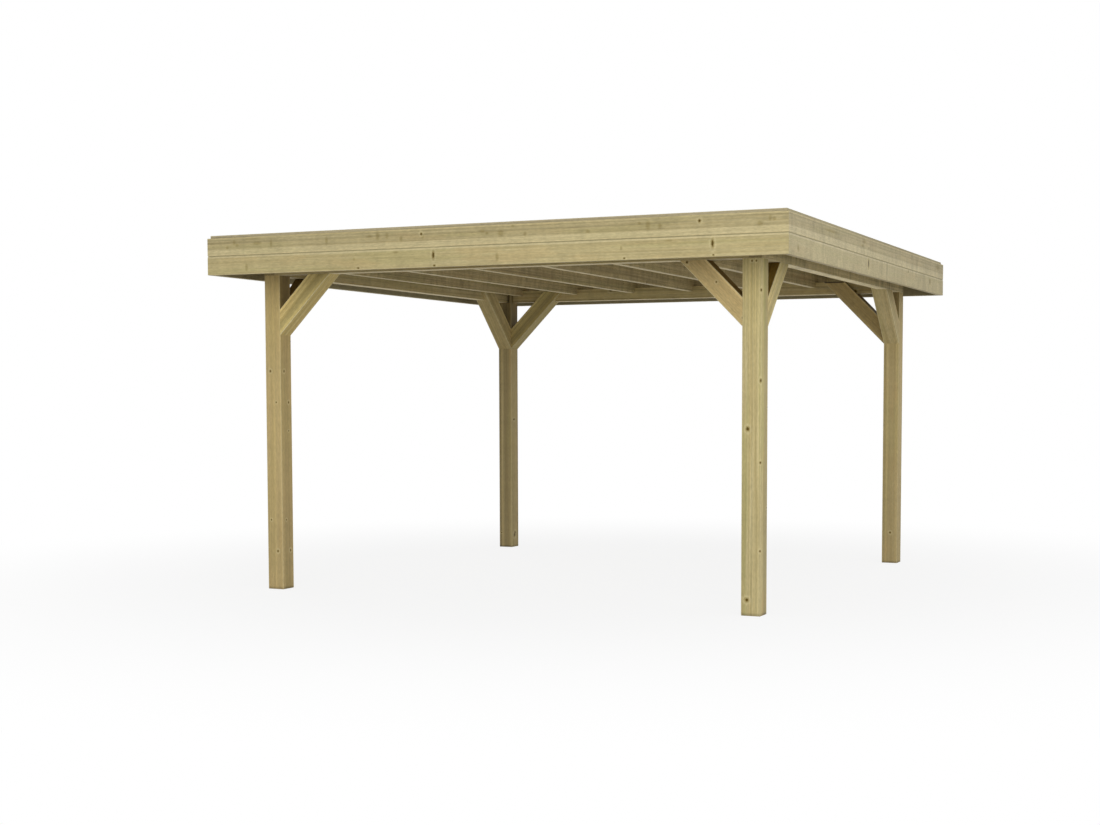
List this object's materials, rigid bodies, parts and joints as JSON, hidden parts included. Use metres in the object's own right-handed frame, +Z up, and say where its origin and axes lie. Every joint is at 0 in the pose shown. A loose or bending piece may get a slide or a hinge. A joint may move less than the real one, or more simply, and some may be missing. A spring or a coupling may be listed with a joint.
{
  "type": "wooden gazebo",
  "caption": "Flat-roofed wooden gazebo: an open square frame of posts, braced ring beams and joists under a boarded roof with a deep fascia.",
  "frame": {"origin": "on the ground at the centre of the plan", "axes": "+Z up; the front faces -Y; +X to the right seen from the front"},
  "size_m": [4, 4, 2.354],
  "materials": {
    "posts": "pressure-treated pine, planed, eased arrises, matt",
    "beams": "pressure-treated pine, planed, matt",
    "braces": "pressure-treated pine, planed, eased arrises, matt",
    "joists": "pressure-treated pine, planed, matt",
    "fascia": "pressure-treated pine, planed, chamfered edges, matt",
    "roof_trim": "pressure-treated pine, planed, matt",
    "roof_boards": "pressure-treated pine boards, tongued and grooved, matt",
    "roof_covering": "dark grey rubber roofing sheet, matt"
  },
  "bodies": {
    "root": {"post_front_left": "posts", "post_front_right": "posts", "post_back_left": "posts", "post_back_right": "posts", "beam_front": "beams", "beam_back": "beams", "beam_left": "beams", "beam_right": "beams", "brace_front_left": "braces", "brace_front_right": "braces", "brace_back_left": "braces", "brace_back_right": "braces", "brace_left_front": "braces", "brace_left_back": "braces", "brace_right_front": "braces", "brace_right_back": "braces", "joist_1": "joists", "joist_2": "joists", "joist_3": "joists", "joist_4": "joists", "joist_5": "joists", "joist_6": "joists", "joist_7": "joists", "rim_joist_left": "joists", "rim_joist_right": "joists", "fascia_lower_front": "fascia", "fascia_lower_back": "fascia", "fascia_lower_left": "fascia", "fascia_lower_right": "fascia", "fascia_upper_front": "fascia", "fascia_upper_back": "fascia", "fascia_upper_left": "fascia", "fascia_upper_right": "fascia", "roof_trim_front": "roof_trim", "roof_trim_back": "roof_trim", "roof_trim_left": "roof_trim", "roof_trim_right": "roof_trim", "roof_deck": "roof_boards", "roof_covering": "roof_covering"}
  },
  "joints": []
}
